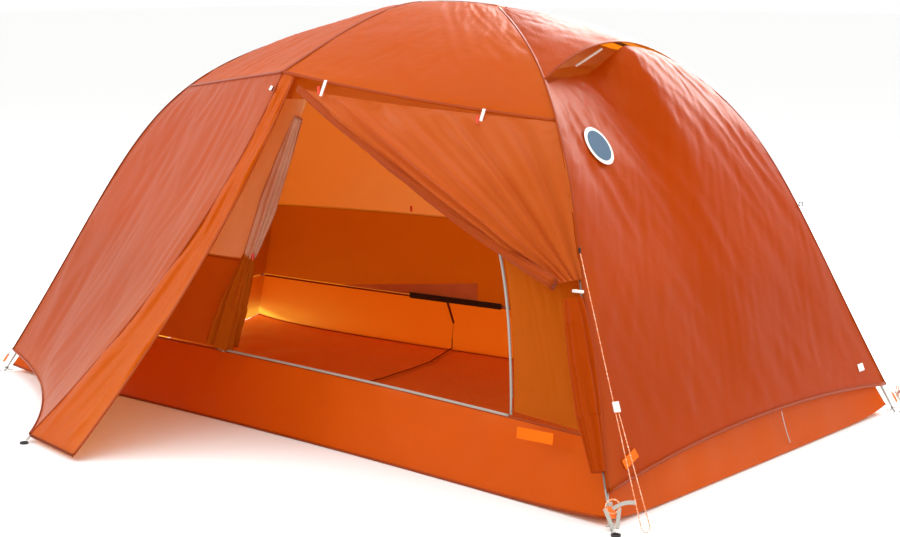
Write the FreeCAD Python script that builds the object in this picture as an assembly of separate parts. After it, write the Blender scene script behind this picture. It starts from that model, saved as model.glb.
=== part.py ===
import FreeCAD, Part

import math
import os

# A two-person hubbed dome tent: a pole frame, an inner tent hung inside it, and a fly pitched over it.
# Millimetres. +X is the head end, -Y the open door side, +Z up, and the ground is z = 0.
V = FreeCAD.Vector
os.makedirs("parts", exist_ok=True)

# ---- driving dimensions ----
HEAD_HUB_X = 310.0          # fork of the frame over the head end
FOOT_HUB_X = -300.0
RIDGE_X = 33.0              # where the cross pole passes over the ridge
RIDGE_HEIGHT = 1111.0       # top of the fly
HEAD_HUB_HEIGHT = 1104.0
FOOT_HUB_HEIGHT = 1036.0
HEAD_TIP = (1171.0, 693.0)  # where a leg's fly curve meets the ground: x, half width
FOOT_TIP = (-1186.0, 542.0)
BROW_HALF_WIDTH = 527.0     # ends of the cross pole, over the doors
BROW_HEIGHT = 945.0
HEAD_SEAM_HEIGHT = 849.0    # where the brow seam meets each leg
FOOT_SEAM_HEIGHT = 866.0
VESTIBULE_TIP = (-440.0, 1000.0)
FLAP_TIP = (-195.0, 1055.0)
HEM_HEIGHT = 80.0
VENT_HEIGHT = 938.0
CLOTH = 2.0                 # thickness that stands for one layer of cloth
SEAM_GAP = 4.0              # clear space along each edge of a panel
POLE_RADIUS = 4.35
POLE_INSET = 14.0           # pole axis inside the fly's outer face
INNER_INSET = 34.0          # inner tent inside the fly's outer face
FLOOR_TOP = 4.0
SILL_HEIGHT = 176.0         # top of the bathtub wall at the door
DOOR_HEAD = V(84, 494, 876)
DOOR_RIGHT_X = 800.0
DOOR_LEFT_X = -285.0
FLOOR_BOW = 40.0            # how far the long edges of the floor are drawn in
GUY_RADIUS = 1.2
RING_BORE = 7.0             # hole of a peg ring
RING_RADIUS = 11.0
RING_THICKNESS = 4.0
HUB_RADIUS = 13.0
TIE_HEIGHT = 500.0          # where the drawn-back vestibule is tied to its leg
PROP_FOOT = V(608, -60, 957)        # the stiff prop that holds the vent open
PROP_TIP = V(652, -8, 1000)
FLOOR_THICKNESS = 3.0
SHOULDER = 780.0            # where the end walls are pieced
ZIP_RADIUS = 2.5            # the door's zip, as a round cord
SLIDER = (12.0, 9.0, 6.0)   # length, width and thickness of a zip slider
TOGGLE = (3.2, 18.0)        # radius and length of a tie's toggle
GUY_PEG = V(1235, -660, 3)  # where the guyline turns round its peg
GUY_BEND = 10.0
TENSIONER = (24.0, 15.0, 4.0)       # length, width and thickness of the guyline's tensioner
HEM_TIE = (V(1124, 112, 108), V(1128, 126, 66), V(1136, 140, 24))


# ---- curves of the frame ----
def bezier(points, t):
    a, b, c, d = points
    s = 1 - t
    return a * s ** 3 + b * (3 * t * s * s) + c * (3 * t * t * s) + d * t ** 3


# each leg's curve in its own upright plane: distance out from the hub, and height of the fly over it
LEGS = {
    "head": (HEAD_HUB_X, HEAD_TIP, (V(0, 0, HEAD_HUB_HEIGHT), V(729, 0, 958), V(686, 0, 767), V(1104, 0, 0))),
    "foot": (FOOT_HUB_X, FOOT_TIP, (V(0, 0, FOOT_HUB_HEIGHT), V(591, 0, 893), V(564, 0, 703), V(1038, 0, 0))),
}


def leg_point(end, side, t, inset=0.0):
    hub_x, tip, profile = LEGS[end]
    step = 1e-3
    p = bezier(profile, t)
    along = bezier(profile, min(1, t + step)) - bezier(profile, max(0, t - step))
    p = p + V(along.z, 0, -along.x).normalize() * inset
    reach = math.hypot(tip[0] - hub_x, tip[1])
    return V(hub_x + (tip[0] - hub_x) / reach * p.x, side * tip[1] / reach * p.x, p.z)


def leg_share(end, height, inset=0.0):
    low, high = 0.0, 1.0
    for _ in range(40):
        middle = (low + high) / 2
        if leg_point(end, 1, middle, inset).z > height:
            low = middle
        else:
            high = middle
    return low


def leg_at(end, side, height, inset=0.0):
    return leg_point(end, side, leg_share(end, height, inset), inset)


def tip_foot(end, side):
    """Where a pole tip stands on the ground."""
    foot = leg_at(end, side, 0.0, POLE_INSET)
    return V(foot.x, foot.y, 0)


def leg_span(end, side, low, high, inset=0.0):
    """The stretch of a leg's curve from one height up to another."""
    a = leg_share(end, low, inset)
    b = leg_share(end, high, inset)
    return lambda t: leg_point(end, side, a + (b - a) * t, inset)


def line(a, b, bow=V(0, 0, 0)):
    """From a to b, drawn off the straight by bow at its middle."""
    return lambda t: a * (1 - t) + b * t + bow * (4 * t * (1 - t))


def reverse(curve):
    return lambda t: curve(1 - t)


def mirror(p, side):
    return V(p.x, side * abs(p.y), p.z)


def brow(side, inset=0.0):
    """The cross pole's arch, from over the ridge down to its end over a door."""
    arch = (V(RIDGE_X, 0, RIDGE_HEIGHT), V(RIDGE_X, side * 150, RIDGE_HEIGHT - 5),
            V(RIDGE_X, side * 350, 1020), V(RIDGE_X, side * BROW_HALF_WIDTH, BROW_HEIGHT))
    return lambda t: bezier(arch, t) - V(0, 0, inset)


def ridge(inset=0.0):
    """From the foot hub over the cross pole to the head hub."""
    arch = (V(FOOT_HUB_X, 0, FOOT_HUB_HEIGHT), V(-150, 0, 1093), V(130, 0, 1134), V(HEAD_HUB_X, 0, HEAD_HUB_HEIGHT))
    return lambda t: bezier(arch, t) - V(0, 0, inset)


def seam(end, side):
    """The fly's seam from a leg to the end of the cross pole, over a door."""
    height = HEAD_SEAM_HEIGHT if end == "head" else FOOT_SEAM_HEIGHT
    bow = V(0, side * 36, -4) if end == "head" else V(0, side * 10, 0)
    return line(leg_at(end, side, height), V(RIDGE_X, side * BROW_HALF_WIDTH, BROW_HEIGHT), bow)


def zip_line(side):
    """The vestibule's zip, from the peg loop at the ground up to the cross pole's end."""
    foot = V(VESTIBULE_TIP[0], side * VESTIBULE_TIP[1], 18)
    return line(foot, V(RIDGE_X, side * BROW_HALF_WIDTH, BROW_HEIGHT), V(48, side * -40, 0))


def floor_edge(side, height=FLOOR_TOP):
    """A long edge of the floor, at a height up the bathtub wall."""
    foot = leg_at("foot", side, height, INNER_INSET)
    head = leg_at("head", side, height, INNER_INSET)
    return line(foot, head, V(0, -side * FLOOR_BOW, 0))


# ---- makers ----
def save(name, *solids):
    shape = solids[0] if len(solids) == 1 else Part.makeCompound(list(solids))
    for solid in shape.Solids:
        if not solid.isValid() or solid.Volume <= 0:
            print("bad solid in", name, solid.isValid(), solid.Volume)
    shape.exportStep("parts/" + name + ".step")
    print(name, len(shape.Solids), round(shape.Volume / 1000, 1), "cm3")


def panel(bottom, top, left, right, swell=V(0, 0, 0), thickness=CLOTH, gap=SEAM_GAP, cells=7):
    """One layer of cloth stretched between four curves, with its thickness on the tent's inner side."""
    wide = max((bottom(1) - bottom(0)).Length, (top(1) - top(0)).Length)
    tall = max((left(1) - left(0)).Length, (right(1) - right(0)).Length)
    grid = []
    for i in range(cells):
        u = gap / wide + (1 - 2 * gap / wide) * i / (cells - 1)
        row = []
        for j in range(cells):
            v = gap / tall + (1 - 2 * gap / tall) * j / (cells - 1)
            corners = (bottom(0) * ((1 - u) * (1 - v)) + bottom(1) * (u * (1 - v))
                       + top(0) * ((1 - u) * v) + top(1) * (u * v))
            p = bottom(u) * (1 - v) + top(u) * v + left(v) * (1 - u) + right(v) * u - corners
            row.append(p + swell * (16 * u * (1 - u) * v * (1 - v)))
        grid.append(row)
    surface = Part.BSplineSurface()
    surface.interpolate(grid)
    middle = surface.value(0.5, 0.5)
    inward = V(0, 0, 300) - middle
    sign = 1 if surface.normal(0.5, 0.5).dot(inward) > 0 else -1
    return surface.toShape().makeOffsetShape(sign * thickness, 0.05, fill=True)


def rod(points, radius, bore=0.0):
    """A round bar, or a tube with a bore, bent along a smooth curve through the points."""
    curve = Part.BSplineCurve()
    curve.interpolate(points)
    path = Part.Wire(curve.toShape())
    start = curve.value(curve.FirstParameter)
    heading = curve.tangent(curve.FirstParameter)[0]

    def sweep(r):
        ring = Part.Wire(Part.Circle(start, heading, r).toShape())
        return path.makePipeShell([ring], True, False)

    return sweep(radius).cut(sweep(bore)) if bore else sweep(radius)


def bundle(points, radii):
    """Gathered cloth: round sections of different size joined in one smooth solid."""
    sections = []
    for i, p in enumerate(points):
        heading = points[min(i + 1, len(points) - 1)] - points[max(i - 1, 0)]
        sections.append(Part.Wire(Part.Circle(p, heading.normalize(), radii[i]).toShape()))
    return Part.makeLoft(sections, True, False)


def cord(points, radius):
    """A cord as straight runs joined by the largest tangent arcs that the runs allow."""
    edges = []
    start = points[0]
    for a, b, c in zip(points, points[1:], points[2:]):
        run = min((b - a).Length, (c - b).Length)
        turn = (b - a).getAngle(c - b)
        arc = 0.45 * run / math.tan(turn / 2)
        back = 0.45 * run
        into = b - (b - a).normalize() * back
        out = b + (c - b).normalize() * back
        towards = (into + out) * 0.5 - b
        middle = b + towards.normalize() * (arc / math.cos(turn / 2) - arc)
        edges += [Part.LineSegment(start, into).toShape(), Part.Arc(into, middle, out).toShape()]
        start = out
        print("  cord bend: turn %.0f deg, radius %.1f mm" % (math.degrees(turn), arc))
    edges.append(Part.LineSegment(start, points[-1]).toShape())
    path = Part.Wire(edges)
    ring = Part.Wire(Part.Circle(points[0], points[1] - points[0], radius).toShape())
    solid = path.makePipeShell([ring], True, False)
    print("  cord length %.0f mm, volume ratio %.3f"
          % (path.Length, solid.Volume / (math.pi * radius ** 2 * path.Length)))
    return solid


def block(centre, along, across, size):
    """A box of size (along, across, third) about a centre, turned to face along."""
    x = V(along).normalize()
    z = x.cross(across).normalize()
    y = z.cross(x)
    corner = centre - x * (size[0] / 2) - y * (size[1] / 2) - z * (size[2] / 2)
    base = Part.makePolygon([corner, corner + x * size[0], corner + x * size[0] + y * size[1],
                             corner + y * size[1], corner])
    return Part.Face(base).extrude(z * size[2])


def plate_ring(centre, axis, outer, bore, thickness):
    start = centre - V(axis).normalize() * (thickness / 2)
    return Part.makeCylinder(outer, thickness, start, axis).cut(Part.makeCylinder(bore, thickness, start, axis))


def samples(curve, count, low=0.0, high=1.0):
    return [curve(low + (high - low) * i / (count - 1)) for i in range(count)]


SIDES = {"front": -1, "back": 1}
CORNERS = [(end, name) for end in ("head", "foot") for name in SIDES]
HUB_SHARE = 0.011       # where a leg leaves its hub, as a share of its curve
TIP_SHARE = 0.96        # where a leg's tube ends above its metal tip

# ---- pole frame: two hubs, a ridge pole, four legs and the cross pole ----
for end, name in CORNERS:
    leg = samples(lambda t: leg_point(end, SIDES[name], t, POLE_INSET), 15, HUB_SHARE, TIP_SHARE)
    save("leg_" + end + "_" + name, rod(leg, POLE_RADIUS, POLE_RADIUS - 0.9))

ridge_run = samples(ridge(POLE_INSET + 9.5), 9, 0.06, 0.94)
save("ridge_pole", rod(ridge_run, POLE_RADIUS, POLE_RADIUS - 0.9))

for end, share in (("head", 0.94), ("foot", 0.06)):
    outward = 1 if end == "head" else -1
    socket = ridge(POLE_INSET + 9.5)(share)
    save(end + "_hub", Part.makeCylinder(HUB_RADIUS, 19, socket + V(outward * (HUB_RADIUS + 2), 0, -12)))

brow_half = samples(brow(-1, POLE_INSET - 6.0), 7, 0.0, 0.94)
brow_run = list(reversed(brow_half)) + [V(p.x, -p.y, p.z) for p in brow_half[1:]]
save("cross_pole", rod(brow_run, POLE_RADIUS, POLE_RADIUS - 0.9))

tips = []
for end, name in CORNERS:
    high = leg_point(end, SIDES[name], TIP_SHARE, POLE_INSET)
    low = tip_foot(end, SIDES[name])
    heading = (low - high).normalize()
    spike = Part.makeCone(4.0, 2.4, (low - high).Length - 3.5, high + heading * 0.4, heading)
    tips.append(spike.fuse(Part.makeSphere(3.0, low + V(0, 0, 3.0))).removeSplitter())
save("pole_tips", *tips)

swivel = Part.makeCylinder(6.5, 5.6, V(RIDGE_X, 0, RIDGE_HEIGHT - POLE_INSET - 4.1))
save("cross_pole_swivel", swivel)

# ---- fly: roof, ends, vestibules, vent ----
for end in ("head", "foot"):
    seam_height = HEAD_SEAM_HEIGHT if end == "head" else FOOT_SEAM_HEIGHT
    hub_height = HEAD_HUB_HEIGHT if end == "head" else FOOT_HUB_HEIGHT
    ridge_half = line(V(RIDGE_X, 0, RIDGE_HEIGHT), leg_point(end, 1, 0.0), V(0, 0, 6))
    for name, side in SIDES.items():
        upper_leg = leg_span(end, side, seam_height, hub_height - 0.5)
        save("fly_roof_" + end + "_" + name,
             panel(reverse(seam(end, side)), ridge_half, reverse(brow(side)), upper_leg))

hem_head = line(leg_at("head", -1, HEM_HEIGHT), leg_at("head", 1, HEM_HEIGHT), V(-10, 0, 40))
vent_sill = line(leg_at("head", -1, VENT_HEIGHT - 12), leg_at("head", 1, VENT_HEIGHT - 12), V(-75, 0, 16))
save("fly_head_end", panel(hem_head, vent_sill, leg_span("head", -1, HEM_HEIGHT, VENT_HEIGHT - 12),
                           leg_span("head", 1, HEM_HEIGHT, VENT_HEIGHT - 12), V(6, 0, 0)))
hood_edge = line(leg_at("head", -1, VENT_HEIGHT), leg_at("head", 1, VENT_HEIGHT), V(-12, 0, 80))
head_crown = HEAD_HUB_HEIGHT - 5
save("vent_hood", panel(hood_edge, line(leg_at("head", -1, head_crown), leg_at("head", 1, head_crown)),
                        leg_span("head", -1, VENT_HEIGHT, head_crown),
                        leg_span("head", 1, VENT_HEIGHT, head_crown)))
hem_foot = line(leg_at("foot", 1, HEM_HEIGHT - 12), leg_at("foot", -1, HEM_HEIGHT - 12), V(10, 0, 40))
foot_crown = FOOT_HUB_HEIGHT - 5
save("fly_foot_end", panel(hem_foot, line(leg_at("foot", 1, foot_crown), leg_at("foot", -1, foot_crown)),
                           leg_span("foot", 1, HEM_HEIGHT - 12, foot_crown),
                           leg_span("foot", -1, HEM_HEIGHT - 12, foot_crown), V(-6, 0, 0)))

for name, side in SIDES.items():
    foot_corner = leg_at("foot", side, HEM_HEIGHT - 12)
    hem = line(foot_corner, zip_line(side)(0), V(46, side * -38, 0))
    save("vestibule_foot_" + name,
         panel(hem, seam("foot", side), leg_span("foot", side, HEM_HEIGHT - 12, FOOT_SEAM_HEIGHT), zip_line(side)))
    flap_edge = line(V(FLAP_TIP[0], side * FLAP_TIP[1], 16), V(RIDGE_X + 42, side * (BROW_HALF_WIDTH + 3), 932),
                     V(10, side * -40, -10))
    flap_foot = line(zip_line(side)(0), flap_edge(0))
    flap_head = line(zip_line(side)(1), flap_edge(1))
    if name == "front":
        save("storm_flap_front", panel(flap_foot, flap_head, zip_line(side), flap_edge))

# the rear vestibule is closed: its head half reaches the zip
head_corner = leg_at("head", 1, HEM_HEIGHT)
save("vestibule_head_back",
     panel(line(zip_line(1)(0), head_corner, V(-60, -52, 0)), reverse(seam("head", 1)),
           zip_line(1), leg_span("head", 1, HEM_HEIGHT, HEAD_SEAM_HEIGHT), V(12, 60, 24)))

# the front vestibule's head half is drawn back, gathered and tied at the head leg
tie = leg_at("head", -1, TIE_HEIGHT) + V(-36, -34, 0)
drawn_edge = line(tie + V(-20, 0, 0), V(RIDGE_X + 60, -BROW_HALF_WIDTH - 6, 905), V(0, -20, -6))
save("vestibule_head_front",
     panel(line(tie + V(-20, 0, 0), leg_at("head", -1, TIE_HEIGHT + 12)), reverse(seam("head", -1)),
           drawn_edge, leg_span("head", -1, TIE_HEIGHT + 12, HEAD_SEAM_HEIGHT), V(14, -34, 10), thickness=5.0))
gather = [leg_at("head", -1, h) + V(-o, -o, 0) for h, o in ((470, 30), (420, 27), (330, 26), (230, 25), (120, 20))]
save("vestibule_gather", bundle(gather, (17, 21, 23, 21, 12)))

# ---- vent: mesh, and the stiff prop that holds the hood open ----
mesh_low = line(leg_at("head", -1, VENT_HEIGHT + 4, 22), leg_at("head", 1, VENT_HEIGHT + 4, 22), V(-70, 0, 10))
mesh_high = line(leg_at("head", -1, VENT_HEIGHT + 34, 22), leg_at("head", 1, VENT_HEIGHT + 34, 22), V(-30, 0, 34))
save("vent_mesh", panel(mesh_low, mesh_high, line(mesh_low(0), mesh_high(0)), line(mesh_low(1), mesh_high(1)),
                        thickness=1.5))

save("vent_prop", rod([PROP_FOOT, (PROP_FOOT + PROP_TIP) * 0.5, PROP_TIP], 3.2))

# ---- inner tent: floor, bathtub walls, walls, canopy and doors ----
INNER_CROWN = {"head": HEAD_HUB_HEIGHT - 40, "foot": FOOT_HUB_HEIGHT - 40}
INNER_SEAM = {"head": 815.0, "foot": 835.0}     # where the canopy's edge meets each leg
TAPE = 6.0                                      # room for a zip between two panels
ZIP_ROOM = V(7, 0, 8)                           # from the door's zip to the wall beyond it
WALL_FOOT = SILL_HEIGHT + TAPE


def wall_line(side, height, x0, x1):
    """A level line on a long wall, between two places along the tent."""
    edge = floor_edge(side, height)
    foot_x, head_x = edge(0).x, edge(1).x
    a = (x0 - foot_x) / (head_x - foot_x)
    b = (x1 - foot_x) / (head_x - foot_x)
    return lambda t: edge(a + (b - a) * t)


def door_left(side):
    low = wall_line(side, WALL_FOOT, DOOR_LEFT_X, 0)(0)
    return line(low, mirror(DOOR_HEAD, side))


def door_right(side):
    """The door's zip: up from the sill, then over to the door's peak."""
    low = wall_line(side, WALL_FOOT, DOOR_RIGHT_X, 0)(0)
    arch = (low, V(low.x - 20, side * 542, 856), V(500, side * 463, 850), mirror(DOOR_HEAD, side))
    return lambda t: bezier(arch, t)


def edge_of(curve, count=13):
    spline = Part.BSplineCurve()
    spline.interpolate(samples(curve, count))
    return spline.toShape()


floor_corners = {key: leg_at(key[0], SIDES[key[1]], FLOOR_TOP, INNER_INSET) for key in CORNERS}
ground = V(0, 0, -FLOOR_TOP)
outline = [edge_of(lambda t: floor_edge(-1)(t) + ground),
           Part.LineSegment(floor_edge(-1)(1) + ground, floor_edge(1)(1) + ground).toShape(),
           edge_of(lambda t: floor_edge(1)(1 - t) + ground),
           Part.LineSegment(floor_edge(1)(0) + ground, floor_edge(-1)(0) + ground).toShape()]
save("floor", Part.Face(Part.Wire(outline)).extrude(V(0, 0, FLOOR_THICKNESS)))

for name, side in SIDES.items():
    save("bathtub_" + name,
         panel(floor_edge(side), floor_edge(side, SILL_HEIGHT),
               leg_span("foot", side, FLOOR_TOP, SILL_HEIGHT, INNER_INSET),
               leg_span("head", side, FLOOR_TOP, SILL_HEIGHT, INNER_INSET)))
    foot_low = leg_at("foot", side, WALL_FOOT, INNER_INSET)
    foot_high = leg_at("foot", side, INNER_SEAM["foot"], INNER_INSET)
    head_low = leg_at("head", side, WALL_FOOT, INNER_INSET)
    head_high = leg_at("head", side, INNER_SEAM["head"], INNER_INSET)
    peak = mirror(DOOR_HEAD, side)
    save("wall_foot_" + name,
         panel(wall_line(side, WALL_FOOT, foot_low.x, DOOR_LEFT_X), line(foot_high, peak),
               leg_span("foot", side, WALL_FOOT, INNER_SEAM["foot"], INNER_INSET), door_left(side),
               V(0, side * 45, 0)))
    save("wall_head_" + name,
         panel(line(door_right(side)(0) + ZIP_ROOM, head_low), line(peak + ZIP_ROOM, head_high),
               lambda t: door_right(side)(t) + ZIP_ROOM,
               leg_span("head", side, WALL_FOOT, INNER_SEAM["head"], INNER_INSET)))
    sill_zip = rod(samples(wall_line(side, SILL_HEIGHT + TAPE / 2, DOOR_LEFT_X, DOOR_RIGHT_X - 8), 7), ZIP_RADIUS)
    save("door_zip_" + name, sill_zip, rod(samples(door_right(side), 9, 0.02, 0.985), ZIP_RADIUS))

# the closed rear door, clear of its zip all round
door_sides = (line(door_left(1)(0) + V(8, 0, 0), mirror(DOOR_HEAD, 1) + V(4, 0, -16)),
              lambda t: door_right(1)(0.97 * t) + V(-8, 0, -8 * t))
save("door_back", panel(line(door_sides[0](0), door_sides[1](0), V(0, -9, 0)),
                        line(door_sides[0](1), door_sides[1](1)), *door_sides))

for end in ("head", "foot"):
    sides = (-1, 1) if end == "head" else (1, -1)
    level = {h: line(leg_at(end, sides[0], h, INNER_INSET), leg_at(end, sides[1], h, INNER_INSET))
             for h in (FLOOR_TOP, SILL_HEIGHT, WALL_FOOT, SHOULDER, INNER_CROWN[end])}
    save("bathtub_" + end, panel(level[FLOOR_TOP], level[SILL_HEIGHT],
                                 leg_span(end, sides[0], FLOOR_TOP, SILL_HEIGHT, INNER_INSET),
                                 leg_span(end, sides[1], FLOOR_TOP, SILL_HEIGHT, INNER_INSET)))
    # the end wall is pieced at shoulder height and hangs slack inside the vent above that
    outward = 1 if end == "head" else -1
    shoulder = line(level[SHOULDER](0), level[SHOULDER](1), V(-40 * outward, 0, 0))
    lower = panel(level[WALL_FOOT], shoulder, leg_span(end, sides[0], WALL_FOOT, SHOULDER, INNER_INSET),
                  leg_span(end, sides[1], WALL_FOOT, SHOULDER, INNER_INSET))
    upper = panel(shoulder, level[INNER_CROWN[end]],
                  leg_span(end, sides[0], SHOULDER, INNER_CROWN[end], INNER_INSET),
                  leg_span(end, sides[1], SHOULDER, INNER_CROWN[end], INNER_INSET), V(-75 * outward, 0, -10))
    save("wall_" + end, lower, upper)
    halves = []
    for side in (-1, 1):
        peak = mirror(DOOR_HEAD, side)
        seam_end = leg_at(end, side, INNER_SEAM[end], INNER_INSET)
        crown_end = leg_at(end, side, INNER_CROWN[end], INNER_INSET)
        crown = V(RIDGE_X, 0, RIDGE_HEIGHT - 62)
        halves.append(panel(line(peak, seam_end), line(crown, crown_end), line(peak, crown, V(0, 0, 45)),
                            leg_span(end, side, INNER_SEAM[end], INNER_CROWN[end], INNER_INSET), gap=9.0))
    save("canopy_" + end, *halves)

# the front door hangs gathered and tied along its hinge side
hinge_side = door_left(-1)
save("door_front", bundle([hinge_side(t) + V(r + 8, 4, 0) for t, r in
                           ((0.03, 40), (0.2, 34), (0.39, 15), (0.6, 22), (0.8, 17), (0.93, 11))],
                          (40, 34, 15, 22, 17, 11)))

# ---- zip sliders ----
door_path = wall_line(-1, SILL_HEIGHT + TAPE / 2, -255, 195)
door_axis = (door_path(1) - door_path(0)).normalize()
slider_out = V(0, -(ZIP_RADIUS + 0.8 + SLIDER[2] / 2), 0)
save("door_slider", block(door_path(0) + slider_out, door_axis, V(0, 0, 1), SLIDER))
for name, side, start, stop in (("front", -1, 0.95, 0.6), ("back", 1, 0.06, 0.4)):
    a = zip_line(side)(start)
    b = zip_line(side)(stop)
    centre = a + V(-2, side * 9, 5)
    save("vestibule_slider_" + name, block(centre, b - a, V(1, 0, 0), SLIDER))
    print("slide axis", name, (b - a).normalize(), round((b - a).Length))
print("slide axis door", door_axis, round((door_path(1) - door_path(0)).Length))

# ---- pocket and ties inside ----
pocket_low = lambda t: wall_line(1, SILL_HEIGHT + 8, -670, -134)(t) - V(0, 12, 0)
pocket_high = lambda t: pocket_low(t) + V(0, 0, 3 + 60 * t)
save("gear_pocket", panel(pocket_low, pocket_high, line(pocket_low(0), pocket_high(0)),
                          line(pocket_low(1), pocket_high(1)), thickness=1.5, gap=1.0))
bar_low = wall_line(1, SILL_HEIGHT + 8, -390, -40)
bar = bar_low(1) - bar_low(0)
save("pocket_bar", block((bar_low(0) + bar_low(1)) * 0.5 - V(0, 22, 0), bar, V(0, 0, 1), (bar.Length, 18, 3)))

tie_front = hinge_side(0.39) + V(24, -19, 0)
tie_back = V(-395, 462, 457)
seam_ties = [seam("head", -1)(t) + V(4, -38, -26) for t in (0.22, 0.80)]
toggle_feet = seam_ties + [tie_front - V(0, 0, 9), tie_back - V(0, 0, 9)]
save("tie_toggles", *[Part.makeCylinder(TOGGLE[0], TOGGLE[1], p) for p in toggle_feet])
save("vestibule_tie", block(leg_at("head", -1, 488) + V(-4, -16, 0), V(1, 0.1, 0), V(0, 0, 1), (26, 6, 8)))

# ---- frame fittings ----
ferrules = []
for end, name in CORNERS:
    for share in (0.27, 0.5, 0.74):
        spot = leg_point(end, SIDES[name], share, POLE_INSET)
        along = leg_point(end, SIDES[name], share + 0.01, POLE_INSET) - spot
        ferrules.append(plate_ring(spot, along, POLE_RADIUS + 0.9, POLE_RADIUS + 0.15, 8))
save("pole_ferrules", *ferrules)

clips = []
for end, name in CORNERS:
    for height in (330, 545, 735):
        share = leg_share(end, height, POLE_INSET)
        spot = leg_point(end, SIDES[name], share, POLE_INSET)
        along = leg_point(end, SIDES[name], share + 0.01, POLE_INSET) - spot
        inward = (leg_point(end, SIDES[name], share, INNER_INSET) - spot).normalize()
        clips.append(block(spot + inward * 11.2, along, inward, (18, 12, 7)))
save("pole_clips", *clips)
brow_ends = []
for side in (-1, 1):
    last = brow(side, POLE_INSET - 6.0)(0.94)
    heading = (brow(side, POLE_INSET - 6.0)(0.97) - last).normalize()
    brow_ends.append(Part.makeCylinder(5.2, 12, last + heading * 0.4, heading))
save("cross_pole_tips", *brow_ends)

# ---- corners: plates on the pole tips, webbing, fly buckles, peg rings ----
plates, webbing, buckles, rings = [], [], [], []
for end, name in CORNERS:
    side = SIDES[name]
    low = tip_foot(end, side)
    high = leg_point(end, side, TIP_SHARE, POLE_INSET)
    up = (high - low).normalize()
    out = V(low.x - LEGS[end][0], low.y, 0).normalize()
    across = V(-out.y, out.x, 0)
    plates.append(plate_ring(low + up * 13, up, 9.0, 4.0, 3.0))
    corner = floor_corners[(end, name)]
    near = low - out * 13
    gap = (near - V(corner.x, corner.y, 0)).Length
    webbing.append(block((V(near.x, near.y, 6) + V(corner.x, corner.y, 6)) * 0.5, out, across,
                         (max(4.0, gap - 6), 15, 1.6)))
    webbing.append(block(low + out * 16 + V(0, 0, 2), out, across, (8, 10, 1.6)))
    rings.append(plate_ring(low + out * 32 + V(0, 0, RING_THICKNESS / 2), V(0, 0, 1),
                            RING_RADIUS, RING_BORE, RING_THICKNESS))
    mid = leg_at(end, side, 42) + out * 5
    slope = (leg_at(end, side, 60) - leg_at(end, side, 30)).normalize()
    buckles.append(block(mid, slope, across, (26, 16, 5)))
    webbing.append(block(mid + slope * 18.5, slope, across, (10, 9, 1.6)))
for side in (-1, 1):
    foot = zip_line(side)(0)
    rings.append(plate_ring(V(foot.x + 6, foot.y + side * 24, RING_THICKNESS / 2), V(0, 0, 1),
                            RING_RADIUS, RING_BORE, RING_THICKNESS))
    webbing.append(block(V(foot.x + 3, foot.y + side * 9, 10), V(0.2, side, -0.6), V(1, 0, 0), (14, 8, 1.6)))
save("corner_plates", *plates)
save("corner_webbing", *webbing)
save("fly_buckles", *buckles)
save("peg_rings", *rings)
for ring in rings:
    print("ring at", [round(c / 1000, 5) for c in ring.BoundBox.Center])

# ---- guyline: loops on the head legs, a doubled cord and its tensioner ----
loops = []
for side in (-1, 1):
    seat = leg_at("head", side, 574)
    out = V(HEAD_TIP[0] - HEAD_HUB_X, side * HEAD_TIP[1], 0).normalize()
    loops.append(plate_ring(seat + out * 10, out.cross(V(0, 0, 1)), 7.0, 4.0, 2.0))
save("guy_loops", *loops)
guy_out = V(HEAD_TIP[0] - HEAD_HUB_X, -HEAD_TIP[1], 0).normalize()
guy_loop = leg_at("head", -1, 574) + guy_out * 10
guy_dir = (GUY_PEG - guy_loop).normalize()
guy_side = guy_dir.cross(guy_out.cross(V(0, 0, 1))).cross(guy_dir).normalize()
guy_start = guy_loop + guy_dir * 8
main_end = GUY_PEG - guy_dir * 14 + guy_side * GUY_BEND
main_dir = (main_end - guy_start).normalize()
tension_at = guy_start + main_dir * ((main_end - guy_start).Length * 0.57)
tail_end = tension_at + main_dir * (TENSIONER[0] / 2 + 1.5) - guy_side * 7
guy_points = [guy_start, main_end, GUY_PEG - guy_dir * 5 + guy_side * 6, GUY_PEG - guy_dir * 5 - guy_side * 6,
              GUY_PEG - guy_dir * 14 - guy_side * GUY_BEND, tail_end]
save("guyline", cord(guy_points, GUY_RADIUS))
print("guy route", [[round(c / 1000, 4) for c in p] for p in guy_points])
body = block(tension_at - guy_side * 4.5, main_dir, guy_side, TENSIONER)
hole = Part.makeCylinder(GUY_RADIUS + 0.5, 60, tension_at - main_dir * 30, main_dir)
save("guy_tensioner", body.cut(hole))
print("guy axis", main_dir, "tensioner at", tension_at)
save("hem_tie", rod(list(HEM_TIE), 1.2))
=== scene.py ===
import math
import bmesh
import bpy
import numpy as np
from mathutils import Matrix, Vector, noise


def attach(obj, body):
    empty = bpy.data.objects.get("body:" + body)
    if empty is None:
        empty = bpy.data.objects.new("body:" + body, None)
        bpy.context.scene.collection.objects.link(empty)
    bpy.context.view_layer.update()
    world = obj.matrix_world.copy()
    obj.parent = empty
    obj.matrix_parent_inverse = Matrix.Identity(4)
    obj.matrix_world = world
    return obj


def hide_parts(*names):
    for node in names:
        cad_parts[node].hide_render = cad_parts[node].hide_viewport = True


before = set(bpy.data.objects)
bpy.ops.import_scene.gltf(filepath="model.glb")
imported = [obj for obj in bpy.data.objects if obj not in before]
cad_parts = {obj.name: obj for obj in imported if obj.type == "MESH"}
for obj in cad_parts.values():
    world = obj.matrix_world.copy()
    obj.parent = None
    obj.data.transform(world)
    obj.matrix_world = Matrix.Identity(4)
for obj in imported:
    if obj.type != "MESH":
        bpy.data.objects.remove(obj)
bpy.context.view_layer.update()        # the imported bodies, nodes, joints and record

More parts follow.
